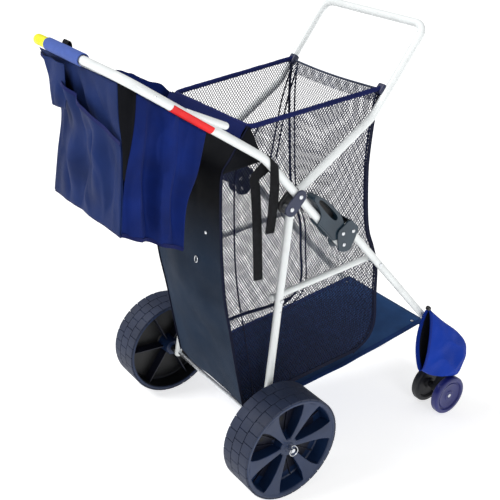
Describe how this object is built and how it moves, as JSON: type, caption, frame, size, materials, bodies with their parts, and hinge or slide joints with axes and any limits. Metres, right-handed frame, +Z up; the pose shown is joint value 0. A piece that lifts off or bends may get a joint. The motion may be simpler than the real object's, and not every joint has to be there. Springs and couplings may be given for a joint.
{
  "type": "beach cart",
  "caption": "Folding beach cart: tubular frame, wide rear wheels, swivel casters, open mesh bag, rear tote and push handle.",
  "frame": {"origin": "under the middle of the cart's box, on the ground", "axes": "+Y points to the casters, +Z up, +X to the right of someone pushing"},
  "size_m": [0.7106, 1.2448, 1.2174],
  "materials": {
    "white_enamel": "glossy white enamel on steel tube",
    "bright_steel": "zinc-plated steel",
    "blue_foam": "closed-cell foam, matte",
    "yellow_sleeve": "soft vinyl",
    "red_film": "printed film, plain",
    "slate_plastic": "moulded, fine grain",
    "teal_plastic": "moulded, semi-gloss",
    "black_plastic": "moulded",
    "wheel_plastic": "moulded, satin",
    "caster_plastic": "moulded, satin",
    "mesh_fabric": "open net on the front and sides, woven polyester at the rear",
    "navy_fabric": "woven coated polyester",
    "royal_fabric": "woven coated polyester",
    "black_webbing": "woven webbing"
  },
  "bodies": {
    "rear_frame": {"hoop_frame": "white_enamel", "rear_axle": "bright_steel", "bag_rim_rod": "bright_steel", "mesh_bag": "mesh_fabric", "base_platform": "navy_fabric", "axle_spacer_right": "black_plastic", "axle_spacer_left": "black_plastic", "ring_pin_right": "bright_steel", "ring_pin_left": "bright_steel", "pivot_plate_right": "slate_plastic", "pivot_plate_left": "slate_plastic", "pivot_block_right": "black_plastic", "pivot_block_left": "black_plastic", "pivot_pin_right": "bright_steel", "pivot_pin_left": "bright_steel", "stop_rivet_right": "bright_steel", "stop_rivet_left": "bright_steel", "bag_corner_cap_right": "slate_plastic", "bag_corner_cap_left": "slate_plastic", "brace_pin_right": "bright_steel", "brace_pin_left": "bright_steel"},
    "push_handle": {"push_handle": "white_enamel", "foam_grip": "blue_foam", "grip_end_sleeve": "yellow_sleeve", "red_wrap": "red_film", "tote_bag": "navy_fabric", "chair_hook_right": "white_enamel", "chair_hook_left": "white_enamel", "strap_right": "black_webbing", "strap_left": "black_webbing"},
    "front_leg": {"front_cross_bar": "white_enamel", "umbrella_pouch": "royal_fabric", "front_leg_right": "white_enamel", "front_leg_left": "white_enamel", "latch_bracket_right": "teal_plastic", "latch_bracket_left": "teal_plastic", "fold_pin_right": "bright_steel", "fold_pin_left": "bright_steel", "leg_rivet_right": "bright_steel", "leg_rivet_left": "bright_steel", "lever_pin_right": "bright_steel", "lever_pin_left": "bright_steel", "caster_socket_right": "black_plastic", "caster_socket_left": "black_plastic", "brace_bushing_right": "bright_steel", "brace_bushing_left": "bright_steel"},
    "brace_right": {"brace_right": "white_enamel"},
    "latch_lever_right": {"latch_lever_right": "teal_plastic"},
    "rear_wheel_right": {"rear_wheel_right": "wheel_plastic"},
    "caster_fork_right": {"caster_fork_right": "black_plastic", "caster_axle_right": "bright_steel"},
    "caster_wheel_outer_right": {"caster_wheel_outer_right": "caster_plastic"},
    "caster_wheel_inner_right": {"caster_wheel_inner_right": "caster_plastic"},
    "brace_left": {"brace_left": "white_enamel"},
    "latch_lever_left": {"latch_lever_left": "teal_plastic"},
    "rear_wheel_left": {"rear_wheel_left": "wheel_plastic"},
    "caster_fork_left": {"caster_fork_left": "black_plastic", "caster_axle_left": "bright_steel"},
    "caster_wheel_outer_left": {"caster_wheel_outer_left": "caster_plastic"},
    "caster_wheel_inner_left": {"caster_wheel_inner_left": "caster_plastic"}
  },
  "joints": [
    {"name": "handle_fold", "type": "hinge", "parent": "rear_frame", "child": "push_handle", "pos_m": [0, -0.1281, 0.8152], "axis": [1, 0, 0], "range_deg": [0, 50], "deforming": ["strap_right", "strap_left"]},
    {"name": "leg_fold", "type": "hinge", "parent": "push_handle", "child": "front_leg", "pos_m": [0, 0.03227, 0.6646], "axis": [1, 0, 0], "range_deg": [-88, 0], "deforming": ["mesh_bag", "base_platform"]},
    {"name": "brace_fold_right", "type": "hinge", "parent": "rear_frame", "child": "brace_right", "pos_m": [0.185, -0.1261, 0.52], "axis": [1, 0, 0], "range_deg": [0, 18.5]},
    {"name": "latch_right", "type": "hinge", "parent": "front_leg", "child": "latch_lever_right", "pos_m": [0.227, 0.02418, 0.69689], "axis": [1, 0, 0], "range_deg": [-20, 0], "stiffness_Nm_per_rad": 0.8, "springref_deg": 5.73},
    {"name": "rear_wheel_spin_right", "type": "hinge", "parent": "rear_frame", "child": "rear_wheel_right", "pos_m": [0.297, -0.1441, 0.15], "axis": [1, 0, 0], "continuous": true},
    {"name": "caster_swivel_right", "type": "hinge", "parent": "front_leg", "child": "caster_fork_right", "pos_m": [0.228, 0.5839, 0.17], "axis": [0, 0, 1], "continuous": true},
    {"name": "caster_spin_outer_right", "type": "hinge", "parent": "caster_fork_right", "child": "caster_wheel_outer_right", "pos_m": [0.27, 0.5589, 0.0635], "axis": [1, 0, 0], "continuous": true},
    {"name": "caster_spin_inner_right", "type": "hinge", "parent": "caster_fork_right", "child": "caster_wheel_inner_right", "pos_m": [0.186, 0.5589, 0.0635], "axis": [1, 0, 0], "continuous": true},
    {"name": "brace_fold_left", "type": "hinge", "parent": "rear_frame", "child": "brace_left", "pos_m": [-0.185, -0.1261, 0.52], "axis": [1, 0, 0], "range_deg": [0, 18.5]},
    {"name": "latch_left", "type": "hinge", "parent": "front_leg", "child": "latch_lever_left", "pos_m": [-0.227, 0.02418, 0.69689], "axis": [1, 0, 0], "range_deg": [-20, 0], "stiffness_Nm_per_rad": 0.8, "springref_deg": 5.73},
    {"name": "rear_wheel_spin_left", "type": "hinge", "parent": "rear_frame", "child": "rear_wheel_left", "pos_m": [-0.297, -0.1441, 0.15], "axis": [1, 0, 0], "continuous": true},
    {"name": "caster_swivel_left", "type": "hinge", "parent": "front_leg", "child": "caster_fork_left", "pos_m": [-0.228, 0.5839, 0.17], "axis": [0, 0, 1], "continuous": true},
    {"name": "caster_spin_outer_left", "type": "hinge", "parent": "caster_fork_left", "child": "caster_wheel_outer_left", "pos_m": [-0.27, 0.5589, 0.0635], "axis": [1, 0, 0], "continuous": true},
    {"name": "caster_spin_inner_left", "type": "hinge", "parent": "caster_fork_left", "child": "caster_wheel_inner_left", "pos_m": [-0.186, 0.5589, 0.0635], "axis": [1, 0, 0], "continuous": true}
  ],
  "couplings": [
    {"joint": "leg_fold", "follows": "handle_fold", "ratio": -1.76},
    {"joint": "brace_fold_right", "follows": "handle_fold", "ratio": 0.37},
    {"joint": "brace_fold_left", "follows": "handle_fold", "ratio": 0.37}
  ]
}
